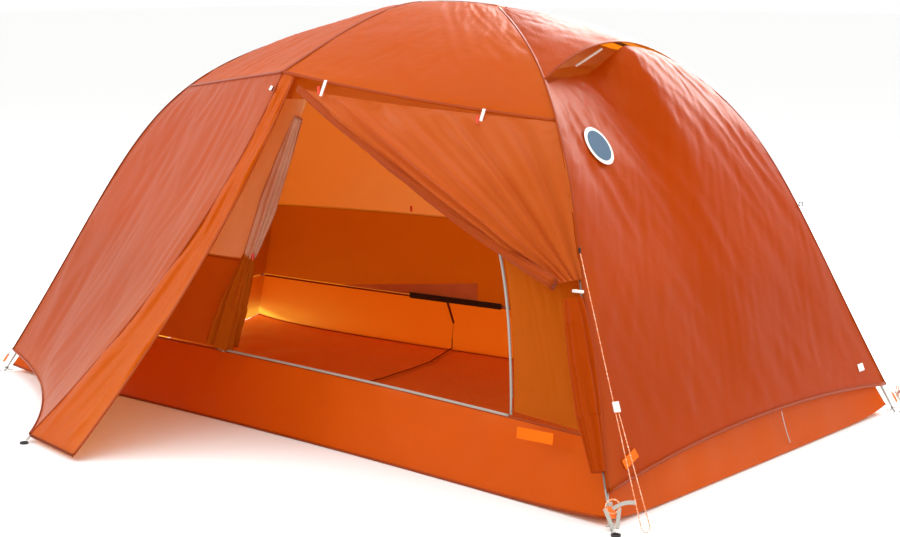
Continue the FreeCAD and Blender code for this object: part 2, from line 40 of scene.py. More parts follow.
# ---- Studio ----
# A pale matt floor under one large softbox overhead and to the left, a weaker one on the right, and
# a bright, even room. The camera stands off the head corner, a little above the tent's peak.
CAMERA_PLACE = Vector((3.270, -3.787, 1.201))
CAMERA_TURN = math.radians(39.59)
CAMERA_TILT = math.radians(9.73)
CAMERA_ROLL = math.radians(-0.2)
LENS_MM = 71.93

camera = bpy.data.objects.new("camera", bpy.data.cameras.new("camera"))
bpy.context.collection.objects.link(camera)
camera.data.lens = LENS_MM
camera.data.shift_x = 0.0018
camera.data.shift_y = 0.0093
camera.matrix_world = (Matrix.Translation(CAMERA_PLACE) @ Matrix.Rotation(CAMERA_TURN, 4, "Z")
                       @ Matrix.Rotation(math.pi / 2 - CAMERA_TILT, 4, "X")
                       @ Matrix.Rotation(CAMERA_ROLL, 4, "Z"))
bpy.context.scene.camera = camera


def linear(hex_code):
    """An sRGB hex colour as the linear colour that shaders take."""
    parts = [int(hex_code[i:i + 2], 16) / 255 for i in (1, 3, 5)]
    return [c / 12.92 if c <= 0.04045 else ((c + 0.055) / 1.055) ** 2.4 for c in parts] + [1.0]


def add(tree, kind, settings=None, links=None):
    """One shader node, with its settings, and with other nodes' outputs linked into its inputs."""
    node = tree.nodes.new(kind)
    for key, value in (settings or {}).items():
        if isinstance(key, str) and hasattr(node, key):
            setattr(node, key, value)
        else:
            node.inputs[key].default_value = value
    for key, output in (links or {}).items():
        tree.links.new(output, node.inputs[key])
    return node


def material(name):
    """A new material with an empty node tree."""
    made = bpy.data.materials.new(name)
    made.use_nodes = True
    made.node_tree.nodes.clear()
    return made, made.node_tree


def softbox(name, place, aim, size, power):
    light = bpy.data.lights.new(name, "AREA")
    light.shape = "RECTANGLE"
    light.size, light.size_y = size
    light.energy = power
    holder = bpy.data.objects.new(name, light)
    bpy.context.collection.objects.link(holder)
    heading = Vector(aim) - Vector(place)
    holder.matrix_world = Matrix.Translation(place) @ heading.to_track_quat("-Z", "Y").to_matrix().to_4x4()


softbox("softbox_left", (-4.2, -3.4, 3.6), (-0.2, 0, 0.5), (4.0, 3.0), 140)
softbox("softbox_overhead", (0.6, -0.6, 4.6), (0, 0, 0.4), (3.5, 3.5), 95)
softbox("softbox_behind", (-0.6, 4.4, 3.0), (0, 0, 0.5), (4.0, 2.6), 330)
softbox("softbox_right", (4.8, 0.6, 2.6), (0.4, 0, 0.5), (3.0, 2.6), 26)

room = bpy.data.worlds.new("room")
bpy.context.scene.world = room
room.use_nodes = True
room.node_tree.nodes["Background"].inputs["Color"].default_value = (1, 1, 1, 1)
room.node_tree.nodes["Background"].inputs["Strength"].default_value = 1.0

floor_paint, tree = material("studio_floor")
shader = add(tree, "ShaderNodeBsdfPrincipled", {"Base Color": linear("#fcfcfb"), "Roughness": 0.9})
add(tree, "ShaderNodeOutputMaterial", links={"Surface": shader.outputs["BSDF"]})
STUDIO_SIZE = 40.0
bm = bmesh.new()
bmesh.ops.create_grid(bm, x_segments=1, y_segments=1, size=STUDIO_SIZE)
mesh = bpy.data.meshes.new("studio_floor")
bm.to_mesh(mesh)
bm.free()
mesh.materials.append(floor_paint)
studio_floor = bpy.data.objects.new("studio_floor", mesh)
bpy.context.collection.objects.link(studio_floor)
studio_floor.location.z = -0.0005

bpy.context.scene.view_settings.view_transform = "Standard"

# ---- Guyline ----
# A 2.4 mm braided cord, orange with a pale reflective tracer. It runs taut from the loop on the head
# leg to the peg, round it, and back up to a triangular tensioner.
GUY_DIAMETER = 0.0024
GUY_ROUTE = [(0.9488, -0.5131, 0.5671), (1.2230, -0.6649, 0.0143), (1.2293, -0.6637, 0.0068),
             (1.2363, -0.6540, 0.0079), (1.2347, -0.6488, 0.0160), (1.1150, -0.5972, 0.2408)]
STRAIGHT = 0.016        # a taut run gets one more point this far from the peg


def toward(a, b, distance):
    """The point that lies a distance from a on the way to b."""
    a, b = Vector(a), Vector(b)
    return a + (b - a).normalized() * distance


braid, tree = material("braided_polyester_cord")
place = add(tree, "ShaderNodeTexCoord")
fleck = add(tree, "ShaderNodeTexNoise", {"Scale": 420.0, "Detail": 1.0},
            {"Vector": place.outputs["Object"]})
tracer = add(tree, "ShaderNodeValToRGB", links={"Fac": fleck.outputs["Fac"]})
tracer.color_ramp.elements[0].position = 0.52
tracer.color_ramp.elements[0].color = linear("#f0823c")
tracer.color_ramp.elements[1].position = 0.6
tracer.color_ramp.elements[1].color = linear("#fbe3c8")
shader = add(tree, "ShaderNodeBsdfPrincipled", {"Roughness": 0.6}, {"Base Color": tracer.outputs["Color"]})
add(tree, "ShaderNodeOutputMaterial", links={"Surface": shader.outputs["BSDF"]})

curve = bpy.data.curves.new("guyline_cord", "CURVE")
curve.dimensions = "3D"
curve.bevel_depth = GUY_DIAMETER / 2
curve.bevel_resolution = 2
route = [Vector(p) for p in GUY_ROUTE]
route.insert(1, toward(route[1], route[0], STRAIGHT))
route.insert(len(route) - 1, toward(route[-2], route[-1], STRAIGHT))
spline = curve.splines.new("NURBS")
spline.points.add(len(route) - 1)
for point, p in zip(spline.points, route):
    point.co = (*p, 1.0)
spline.order_u = 3
spline.use_endpoint_u = True
spline.resolution_u = 10
curve.use_fill_caps = True
curve.materials.append(braid)
guyline = bpy.data.objects.new("guyline_cord", curve)
bpy.context.collection.objects.link(guyline)
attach(guyline, "tent")
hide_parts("guyline")

# ---- Pole frame ----
# Two plastic hubs joined by a ridge pole, four legs that spring from the hubs to the corners, and a
# short cross pole over the doors. Tubes of anodised aluminium, drawn and satin, in ferruled sections.
HUB_X = {"head": 0.310, "foot": -0.300}
TIP = {"head": (1.171, 0.693), "foot": (-1.186, 0.542)}
LEG_ARCH = {"head": ((0.0, 1.104), (0.729, 0.958), (0.686, 0.767), (1.104, 0.0)),
            "foot": ((0.0, 1.036), (0.591, 0.893), (0.564, 0.703), (1.038, 0.0))}
CROWN = {"head": 1.104, "foot": 1.036}


def bezier(points, t):
    a, b, c, d = points
    s = 1 - t
    return a * s ** 3 + b * (3 * t * s * s) + c * (3 * t * t * s) + d * t ** 3


def leg_point(end, side, t, inset=0.0):
    """A point of the fly over a leg, or inset towards the inside from it. side is -1 at the open door."""
    arch = [Vector(p) for p in LEG_ARCH[end]]
    p = bezier(arch, t)
    along = bezier(arch, min(1, t + 0.001)) - bezier(arch, max(0, t - 0.001))
    p = p + Vector((along.y, -along.x)).normalized() * inset
    reach = math.hypot(TIP[end][0] - HUB_X[end], TIP[end][1])
    return Vector((HUB_X[end] + (TIP[end][0] - HUB_X[end]) / reach * p.x,
                   side * TIP[end][1] / reach * p.x, p.y))


def leg_share(end, height, inset=0.0):
    low, high = 0.0, 1.0
    for _ in range(30):
        middle = (low + high) / 2
        if leg_point(end, 1, middle, inset).z > height:
            low = middle
        else:
            high = middle
    return low


def leg_at(end, side, height, inset=0.0):
    return leg_point(end, side, leg_share(end, height, inset), inset)


def leg_span(end, side, low, high, inset=0.0):
    a = leg_share(end, low, inset)
    b = leg_share(end, high, inset)
    return lambda t: leg_point(end, side, a + (b - a) * t, inset)


tube, tree = material("anodised_aluminium_tube")
place = add(tree, "ShaderNodeTexCoord")
drawn = add(tree, "ShaderNodeTexNoise", {"Scale": 260.0, "Detail": 3.0},
            {"Vector": place.outputs["Object"]})
tone = add(tree, "ShaderNodeMix", {"data_type": "RGBA", "A": linear("#7b7570"), "B": linear("#8f8984")},
           {"Factor": drawn.outputs["Fac"]})
shader = add(tree, "ShaderNodeBsdfPrincipled", {"Metallic": 1.0, "Roughness": 0.34},
             {"Base Color": tone.outputs["Result"]})
add(tree, "ShaderNodeOutputMaterial", links={"Surface": shader.outputs["BSDF"]})


MOULD_GRAIN = 900.0      # about 1 mm, coarser than the mould's own so that it shows


def plastic(name, colour, roughness):
    """Moulded plastic: an even colour with the fine grain of the mould."""
    made, tree = material(name)
    place = add(tree, "ShaderNodeTexCoord")
    cast = add(tree, "ShaderNodeTexNoise", {"Scale": MOULD_GRAIN, "Detail": 2.0},
               {"Vector": place.outputs["Object"]})
    relief = add(tree, "ShaderNodeBump", {"Strength": 0.15, "Distance": 0.0004},
                 {"Height": cast.outputs["Fac"]})
    shader = add(tree, "ShaderNodeBsdfPrincipled", {"Base Color": linear(colour), "Roughness": roughness},
                 {"Normal": relief.outputs["Normal"]})
    add(tree, "ShaderNodeOutputMaterial", links={"Surface": shader.outputs["BSDF"]})
    return made


black_nylon = plastic("moulded_black_nylon", "#1d1c1c", 0.5)
orange_acetal = plastic("moulded_orange_acetal", "#ff7a1c", 0.4)
red_acetal = plastic("moulded_red_acetal", "#e2432a", 0.4)
white_acetal = plastic("moulded_white_acetal", "#e8e4dc", 0.45)

machined, tree = material("machined_aluminium")
place = add(tree, "ShaderNodeTexCoord")
turned = add(tree, "ShaderNodeTexWave", {"Scale": 500.0, "bands_direction": "Z"},
             {"Vector": place.outputs["Object"]})
relief = add(tree, "ShaderNodeBump", {"Strength": 0.2, "Distance": 0.0003},
             {"Height": turned.outputs["Fac"]})
shader = add(tree, "ShaderNodeBsdfPrincipled",
             {"Base Color": linear("#a5a39f"), "Metallic": 1.0, "Roughness": 0.3},
             {"Normal": relief.outputs["Normal"]})
add(tree, "ShaderNodeOutputMaterial", links={"Surface": shader.outputs["BSDF"]})


def finish_node(node, finish):
    """Gives a CAD node its material."""
    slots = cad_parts[node].material_slots
    for slot in slots:
        slot.material = finish


for node in ("leg_head_front", "leg_head_back", "leg_foot_front", "leg_foot_back", "ridge_pole",
             "cross_pole", "pole_ferrules"):
    finish_node(node, tube)
for node in ("head_hub", "foot_hub", "cross_pole_swivel", "cross_pole_tips", "pole_clips", "peg_rings",
             "guy_loops"):
    finish_node(node, black_nylon)
for node in ("pole_tips", "corner_plates"):
    finish_node(node, machined)

# ---- Fly: roof and ends ----
# The outer tent, orange ripstop coated with silicone outside. Four roof panels meet in flat-felled seams
# over the ridge and the brow, and the end panels run down from the legs to a catenary hem. The cloth is thin
# ripstop: silky outside, finely crinkled, and it glows where light comes through.
WEAVE = 0.007           # the ripstop grid, drawn coarser than the real 3 mm so that it shows
CRINKLE = 14.0          # soft crinkles about 70 mm apart
TENT_MIDDLE = Vector((0, 0, 0.35))


def nylon(name, colour, shade, through, roughness=0.36, sheen=0.0, crinkle=0.0013, lit=None):
    """Coated ripstop: colour and shade drift over it, and the share named through comes from behind."""
    made, tree = material(name)
    place = add(tree, "ShaderNodeTexCoord")
    drift = add(tree, "ShaderNodeTexNoise", {"Scale": 3.2, "Detail": 3.0, "Roughness": 0.55},
                {"Vector": place.outputs["Object"]})
    dye = add(tree, "ShaderNodeMix", {"data_type": "RGBA", "A": linear(colour), "B": linear(shade)},
              {"Factor": drift.outputs["Fac"]})
    grid = add(tree, "ShaderNodeTexBrick", {"offset": 0.0, "Scale": 1.0, "Brick Width": WEAVE,
                                            "Row Height": WEAVE, "Mortar Size": 0.0005,
                                            "Mortar Smooth": 0.3,
                                            "Color1": (1, 1, 1, 1), "Color2": (0.985, 0.985, 0.985, 1),
                                            "Mortar": (0.90, 0.88, 0.86, 1)},
               {"Vector": place.outputs["UV"]})
    woven = add(tree, "ShaderNodeMix", {"data_type": "RGBA", "blend_type": "MULTIPLY", "Factor": 1.0},
                {"A": dye.outputs["Result"], "B": grid.outputs["Color"]})
    soft = add(tree, "ShaderNodeTexNoise", {"Scale": CRINKLE, "Detail": 5.0, "Roughness": 0.55,
                                            "Distortion": 1.2},
               {"Vector": place.outputs["Object"]})
    relief = add(tree, "ShaderNodeBump", {"Strength": 1.0, "Distance": crinkle},
                 {"Height": soft.outputs["Fac"]})
    weave = add(tree, "ShaderNodeBump", {"Strength": 0.25, "Distance": 0.0003},
                {"Height": grid.outputs["Fac"], "Normal": relief.outputs["Normal"]})
    face = add(tree, "ShaderNodeBsdfPrincipled", {"Roughness": roughness, "Sheen Weight": sheen,
                                                  "Sheen Roughness": 0.4, "Sheen Tint": linear("#ffd9c4"),
                                                  "Specular IOR Level": 0.30,
                                                  "Specular Tint": linear("#ffa860")},
               {"Base Color": woven.outputs["Result"], "Normal": weave.outputs["Normal"]})
    glow = add(tree, "ShaderNodeBsdfTranslucent", {"Color": linear(lit or colour)},
               {"Normal": relief.outputs["Normal"]})
    both = add(tree, "ShaderNodeMixShader", {"Fac": through},
               {1: face.outputs["BSDF"], 2: glow.outputs["BSDF"]})
    add(tree, "ShaderNodeOutputMaterial", links={"Surface": both.outputs["Shader"]})
    return made


def stretched(edges, cells, swell):
    """The points of the surface stretched between four curves, and which way it faces at each."""
    bottom, top, left, right = edges
    us, vs = np.linspace(0, 1, cells[0] + 1), np.linspace(0, 1, cells[1] + 1)
    low, high = (np.array([path(u) for u in us])[:, None] for path in (bottom, top))
    first, last = (np.array([path(v) for v in vs])[None] for path in (left, right))
    u, v = us[:, None, None], vs[None, :, None]
    flat = (low[0] * ((1 - u) * (1 - v)) + low[-1] * (u * (1 - v))
            + high[0] * ((1 - u) * v) + high[-1] * (u * v))
    spots = low * (1 - v) + high * v + first * (1 - u) + last * u - flat
    spots = spots + np.array(swell) * (16 * u * (1 - u) * v * (1 - v))
    facing = np.cross(np.gradient(spots, axis=0), np.gradient(spots, axis=1))
    size = np.linalg.norm(facing, axis=2, keepdims=True)
    return spots, facing / np.maximum(size, 1e-12)


def taut(u, v):
    """1 in the middle of a panel, falling to 0 at its sewn edges."""
    return min(1.0, 4 * (16 * u * (1 - u) * v * (1 - v)) ** 0.8)


def ripple(p, size, seed=0.0):
    """A soft, even unevenness about as long as size, from -1 to 1."""
    return noise.noise(Vector(p) / size + Vector((seed, seed * 1.7, 0)))


def make(name, bm, finish, body="tent", nodes=(), smooth=True):
    """Turns a bmesh into a finished piece that rides on the tent and stands for its CAD nodes."""
    for face in bm.faces:
        face.smooth = smooth
    mesh = bpy.data.meshes.new(name)
    bm.to_mesh(mesh)
    bm.free()
    mesh.materials.append(finish)
    piece = bpy.data.objects.new(name, mesh)
    bpy.context.collection.objects.link(piece)
    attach(piece, body)
    if nodes:
        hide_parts(*nodes)
    return piece


def length_of(path):
    spots = [path(i / 12) for i in range(13)]
    return sum((b - a).length for a, b in zip(spots, spots[1:]))


def panel(name, edges, cells, finish, nodes=(), shape=None, swell=(0, 0, 0),
          inner=TENT_MIDDLE, lift=0.0):
    """A panel of cloth between four edge curves (bottom, top, left, right), with relief outwards by shape."""
    spots, facing = stretched(edges, cells, swell)
    middle = (cells[0] // 2, cells[1] // 2)
    sign = 1 if Vector(facing[middle]).dot(Vector(spots[middle]) - inner) > 0 else -1
    wide = max(length_of(edges[0]), length_of(edges[1]))
    tall = max(length_of(edges[2]), length_of(edges[3]))
    bm = bmesh.new()
    bmesh.ops.create_grid(bm, x_segments=cells[0], y_segments=cells[1], size=0.5)
    uv = bm.loops.layers.uv.new("UVMap")
    for face in bm.faces:
        for loop in face.loops:
            loop[uv].uv = ((loop.vert.co.x + 0.5) * wide, (loop.vert.co.y + 0.5) * tall)
    shares = {vert: (vert.co.x + 0.5, vert.co.y + 0.5) for vert in bm.verts}
    cell_of = {vert: (round(u * cells[0]), round(v * cells[1])) for vert, (u, v) in shares.items()}
    for vert, cell in cell_of.items():
        vert.co = Vector(spots[cell])
    flat_area = sum(face.calc_area() for face in bm.faces)
    for vert, (u, v) in shares.items():
        relief = (shape(u, v, vert.co, wide, tall) if shape else 0.0) + lift
        vert.co = vert.co + Vector(facing[cell_of[vert]]) * (sign * relief)
    if sign < 0:
        bmesh.ops.reverse_faces(bm, faces=bm.faces)
    piece = make(name, bm, finish, nodes=nodes)
    return piece


def line(a, b, bow=(0, 0, 0)):
    """From a to b, drawn off the straight by bow at its middle."""
    a, b, bow = Vector(a), Vector(b), Vector(bow)
    return lambda t: a.lerp(b, t) + bow * (4 * t * (1 - t))


def reverse(path):
    return lambda t: path(1 - t)


RIDGE = Vector((0.033, 0, 1.111))
SEAM_HEIGHT = {"head": 0.849, "foot": 0.866}
HEM_HEIGHT = {"head": 0.080, "foot": 0.068}
VENT_HEIGHT = 0.938
VENT_GAP = 0.012         # the vent's sill lies this far under the hood
VESTIBULE_TIP = (-0.440, 1.000, 0.018)
SIDES = {"front": -1, "back": 1}

roof_cloth = nylon("ripstop_roof", "#cc5a02", "#c05000", 0.40, lit="#e68a16")
# The fly's same ripstop painted darker: painted shade on the end panels, the vent hood and the roll beside
# the leg.
end_cloth_painted_shade = nylon("ripstop_end_painted_shade", "#ba4400", "#ae3c00", 0.36, lit="#d27a14")
vestibule_cloth = nylon("ripstop_vestibule", "#b84e1a", "#ae4614", 0.38, sheen=0.22,
                        lit="#de821a")


def brow(side):
    arch = [Vector(p) for p in ((0.033, 0, 1.111), (0.033, side * 0.150, 1.106),
                                (0.033, side * 0.350, 1.020),
                                (0.033, side * 0.527, 0.945))]
    return lambda t: bezier(arch, t)


def brow_seam(end, side):
    """The seam over a door, from the leg to the end of the cross pole."""
    bow = (0, side * 0.036, -0.004) if end == "head" else (0, side * 0.010, 0)
    return line(leg_at(end, side, SEAM_HEIGHT[end]), brow(side)(1), bow)


def zip_line(side):
    foot = (VESTIBULE_TIP[0], side * VESTIBULE_TIP[1], VESTIBULE_TIP[2])
    return line(foot, brow(side)(1), (0.048, side * -0.040, 0))


def pucker(u, v, p, wide, tall, seed):
    """Short gathers that a line of stitches draws along each sewn edge."""
    off = min(min(u, 1 - u) * wide, min(v, 1 - v) * tall)
    drawn = math.exp(-off / 0.035) * (1 - math.exp(-off / 0.006))
    return 0.0030 * drawn * ripple(p, 0.022, seed)


CREASE_LEAN = 0.5        # creases run off the panel's own lines by about this slope


def drum(size, amount, seed):
    """Slack in the middle, with long creases along the pull of the cloth."""
    def relief(u, v, p, wide, tall):
        x, y = u * wide, v * tall
        crease = 1 - 2 * abs(noise.noise(Vector(((x + CREASE_LEAN * y) / size * 2.2,
                                                 (y - CREASE_LEAN * x) / size * 0.5, seed))))
        fine = 1 - 2 * abs(noise.noise(Vector(((x - CREASE_LEAN * y) / size * 4.6, y / size * 1.1,
                                               seed + 9))))
        slack = taut(u, v) * amount * (ripple(p, size, seed) + 0.5 * crease + 0.28 * fine)
        return slack + pucker(u, v, p, wide, tall, seed)
    return relief


for end in ("head", "foot"):
    for name, side in SIDES.items():
        half_ridge = line(RIDGE, leg_point(end, 1, 0.0), (0, 0, 0.006))
        upper_leg = leg_span(end, side, SEAM_HEIGHT[end], CROWN[end] - 0.0005)
        panel("roof_" + end + "_" + name, (reverse(brow_seam(end, side)), half_ridge, reverse(brow(side)),
                                           upper_leg),
              (64, 64), roof_cloth, nodes=("fly_roof_" + end + "_" + name,),
              shape=drum(0.15, 0.005, 1.0 if end == "head" else 4.0))

hem_head = line(leg_at("head", -1, HEM_HEIGHT["head"]), leg_at("head", 1, HEM_HEIGHT["head"]),
                (-0.010, 0, 0.040))
vent_sill = line(leg_at("head", -1, VENT_HEIGHT - VENT_GAP), leg_at("head", 1, VENT_HEIGHT - VENT_GAP),
                 (-0.075, 0, 0.016))
hood_edge = line(leg_at("head", -1, VENT_HEIGHT), leg_at("head", 1, VENT_HEIGHT), (-0.012, 0, 0.080))


def vent_lip(t):
    """The end panel's top edge: low at the prop's foot, then close up under the hood beyond it."""
    rise = min(1.0, max(0.0, (t - 0.40) / 0.16))
    rise = rise * rise * (3 - 2 * rise)
    return vent_sill(t).lerp(hood_edge(t) + Vector((-0.004, 0, -0.008)), rise)


head_end = panel("head_end", (hem_head, vent_lip,
                              leg_span("head", -1, HEM_HEIGHT["head"], VENT_HEIGHT - VENT_GAP),
                              leg_span("head", 1, HEM_HEIGHT["head"], VENT_HEIGHT - VENT_GAP)),
                 (96, 110), end_cloth_painted_shade, nodes=("fly_head_end",),
                 shape=drum(0.20, 0.0065, 7.0), swell=(0.006, 0, 0))
hem_foot = line(leg_at("foot", 1, HEM_HEIGHT["foot"]), leg_at("foot", -1, HEM_HEIGHT["foot"]),
                (0.010, 0, 0.040))
CROWN_GAP = 0.005        # an end panel stops this far short of the crown
foot_crown = CROWN["foot"] - CROWN_GAP
panel("foot_end", (hem_foot, line(leg_at("foot", 1, foot_crown), leg_at("foot", -1, foot_crown)),
                   leg_span("foot", 1, HEM_HEIGHT["foot"], foot_crown),
                   leg_span("foot", -1, HEM_HEIGHT["foot"], foot_crown)),
      (80, 110), end_cloth_painted_shade, nodes=("fly_foot_end",), shape=drum(0.22, 0.007, 9.0),
      swell=(-0.006, 0, 0))
head_crown = CROWN["head"] - CROWN_GAP
panel("vent_hood_cloth", (hood_edge, line(leg_at("head", -1, head_crown), leg_at("head", 1, head_crown)),
                          leg_span("head", -1, VENT_HEIGHT, head_crown),
                          leg_span("head", 1, VENT_HEIGHT, head_crown)),
      (48, 40), end_cloth_painted_shade, nodes=("vent_hood",), shape=drum(0.1, 0.003, 3.0))

# ---- Vestibules ----
# A porch over each door. Its foot half is pegged out at the zip. The front one's head half is drawn
# back and tied at the leg, so that its cloth fans from the tie and falls in a roll along the leg.
FLAP_TIP = (-0.195, 1.055, 0.016)
TIE_HEIGHT = 0.500


def falls(amount, lines, seed):
    """Slack that hangs in long soft folds down a panel."""
    def relief(u, v, p, wide, tall):
        fold = math.sin(lines * u * math.pi + 1.4 * ripple((u * 2, v * 2, seed), 0.5)) * (1 - v) ** 0.7
        fine = 1 - 2 * abs(noise.noise(Vector((u * wide * 16, v * tall * 4, seed))))
        slack = amount * taut(u, v) * (0.5 * fold + 0.8 * ripple(p, 0.19, seed) + 0.35 * fine)
        return slack + pucker(u, v, p, wide, tall, seed)
    return relief


for name, side in SIDES.items():
    hem = line(leg_at("foot", side, HEM_HEIGHT["foot"]), zip_line(side)(0), (0.046, side * -0.038, 0))
    panel("vestibule_foot_half_" + name, (hem, brow_seam("foot", side),
                                          leg_span("foot", side, HEM_HEIGHT["foot"], SEAM_HEIGHT["foot"]),
                                          zip_line(side)),
          (90, 100), vestibule_cloth, nodes=("vestibule_foot_" + name,),
          shape=falls(0.009, 5, 2.0 + side))

flap_edge = line((FLAP_TIP[0], -FLAP_TIP[1], FLAP_TIP[2]), (0.075, -0.530, 0.932), (0.010, 0.040, -0.010))
front_zip = zip_line(-1)
panel("storm_flap", (line(front_zip(0), flap_edge(0)), line(front_zip(1), flap_edge(1)), front_zip,
                     flap_edge),
      (36, 120), roof_cloth, nodes=("storm_flap_front",), shape=falls(0.010, 3, 6.0))
panel("vestibule_head_half_back",
      (line(zip_line(1)(0), leg_at("head", 1, 0.080), (-0.060, -0.052, 0)), reverse(brow_seam("head", 1)),
       zip_line(1), leg_span("head", 1, 0.080, SEAM_HEIGHT["head"])),
      (100, 100), vestibule_cloth, nodes=("vestibule_head_back",),
      shape=falls(0.009, 6, 5.0),
      swell=(0.012, 0.060, 0.024))

tie = leg_at("head", -1, TIE_HEIGHT) + Vector((-0.036, -0.034, 0))
drawn_edge = line(tie + Vector((-0.020, 0, 0)), (0.093, -0.533, 0.905), (0, -0.020, -0.006))


# The roof's same ripstop painted lighter and pinker where it is drawn back: painted highlight on its folds.
drawn_cloth_painted_light = nylon("ripstop_drawn_back_painted_light", "#cc6428", "#c05818", 0.40, lit="#ee9038", roughness=0.30,
                    sheen=0.25)


def fan(u, v, p, wide, tall):
    """Folds that spread from the tie up to the brow seam, sharper and closer near the tie."""
    spread = max(0.12, v)
    creases = math.sin(u * 34 + 2.2 * ripple((u * 3, v, 0.5), 0.6)) + 0.5 * math.sin(u * 61 + 3 * v)
    deep = 0.0095 * creases * spread ** 0.5 * (1 - v) ** 0.40
    return deep + 0.011 * taut(u, v) * ripple(p, 0.14, 8.0) + pucker(u, v, p, wide, tall, 8.0)


panel("vestibule_drawn_back",
      (line(tie + Vector((-0.020, 0, 0)), leg_at("head", -1, TIE_HEIGHT + 0.012)),
       reverse(brow_seam("head", -1)),
       drawn_edge, leg_span("head", -1, TIE_HEIGHT + 0.012, SEAM_HEIGHT["head"])),
      (150, 110), drawn_cloth_painted_light, nodes=("vestibule_head_front",), shape=fan,
      swell=(0.014, -0.034, 0.010))


def gathered(name, path, radii, creases, finish, nodes=(), rings=60, spokes=48, depth=0.22,
             twist=0.6, seed=0.0):
    """Cloth drawn into a roll along a path. radii(t) is its size, creases the number of its folds."""
    bm = bmesh.new()
    bmesh.ops.create_grid(bm, x_segments=spokes, y_segments=rings, size=0.5)
    uv = bm.loops.layers.uv.new("UVMap")
    reach = length_of(path)
    for item in bm.faces:
        for loop in item.loops:
            loop[uv].uv = (loop.vert.co.x * 0.4, (loop.vert.co.y + 0.5) * reach)
    for vert in bm.verts:
        turn, t = (vert.co.x + 0.5) * 2 * math.pi, vert.co.y + 0.5
        along = (path(min(1, t + 0.01)) - path(max(0, t - 0.01))).normalized()
        side = along.cross(Vector((0, 0, 1))).normalized() if abs(along.z) < 0.95 else Vector((1, 0, 0))
        side = along.cross(side.cross(along)).normalized() if abs(along.z) < 0.95 else side
        front = along.cross(side).normalized()
        r = radii(t)
        swing = turn + twist * t
        fold = 0.6 * math.cos(creases * swing + 1.3 * math.sin(3 * swing + seed))
        fold += 0.4 * math.cos((creases - 3) * swing + 2.1 * t + seed)
        size = r * (1 + depth * fold + 0.08 * ripple((math.cos(turn), math.sin(turn), t * 6), 1.0, seed))
        vert.co = path(t) + side * (math.cos(turn) * size) + front * (math.sin(turn) * size)
    bmesh.ops.remove_doubles(bm, verts=bm.verts, dist=1e-5)
    rims = [e for e in bm.edges if e.is_boundary]
    bmesh.ops.holes_fill(bm, edges=rims, sides=0)
    bmesh.ops.recalc_face_normals(bm, faces=bm.faces)
    return make(name, bm, finish, nodes=nodes)


gathered("vestibule_rolled_edge", drawn_edge, lambda t: 0.015 - 0.007 * t, 5, vestibule_cloth,
         rings=120, spokes=40, depth=0.24, twist=5.0, seed=4.0)

ROLL = ((0.470, 0.030, 0.017), (0.420, 0.027, 0.021), (0.330, 0.026, 0.023), (0.230, 0.025, 0.021),
        (0.120, 0.020, 0.012))           # height, distance off the leg, radius


def along_roll(values):
    """A smooth value through the roll's stations."""
    def pick(t):
        spot = t * (len(values) - 1)
        i = min(int(spot), len(values) - 2)
        f = spot - i
        f = f * f * (3 - 2 * f)
        return values[i] * (1 - f) + values[i + 1] * f
    return pick


ROLL_NEAR, ROLL_FULL = 0.62, 1.22       # the loose cloth lies nearer to the leg and fuller than it is held
roll_path = along_roll([leg_at("head", -1, h) + Vector((-o, -o, 0)) * ROLL_NEAR for h, o, _ in ROLL])
gathered("vestibule_roll", roll_path, along_roll([r * ROLL_FULL for _, _, r in ROLL]), 9, end_cloth_painted_shade,
         nodes=("vestibule_gather",), rings=90, spokes=72, depth=0.20)

# ---- Inner tent ----
# Lighter orange nylon above, a heavier coated tub below, and fine mesh near the top. It hangs from the
# legs by plastic clips. The front door is drawn aside and tied, and the rear one is closed.
INSET = 0.034
SILL = 0.176
WALL_FOOT = 0.182
FLOOR_TOP = 0.004
CORNER_LIFT = 0.018      # the corner straps hold the floor's corners this far off the ground
SHOULDER = 0.780
INNER_CROWN = {"head": 1.064, "foot": 0.996}
INNER_SEAM = {"head": 0.815, "foot": 0.835}
DOOR_HEAD = (0.084, 0.494, 0.876)
DOOR_SILL = (-0.285, 0.800)     # where the doors' sills start and end along the tent
ZIP_ROOM = Vector((0.007, 0, 0.008))
CANOPY_CROWN = Vector((0.033, 0, 1.049))

tub_cloth = nylon("coated_tub_nylon", "#dc5c06", "#ce5204", 0.30, lit="#d8841c", roughness=0.34, sheen=0.1)
# The same tub nylon painted lighter, with more and brighter light through it, for the rear and foot tub seen
# from inside: painted light.
tub_cloth_painted_light = nylon("coated_tub_nylon_painted_light", "#e4660a", "#d85c06", 0.62, lit="#ffb43c", roughness=0.34,
                      sheen=0.1)
wall_cloth = nylon("inner_wall_nylon", "#d87010", "#ce660a", 0.55, lit="#cf9028", roughness=0.6, sheen=0.15)
MESH_SEAM = 0.437        # solid cloth below this height, mesh above


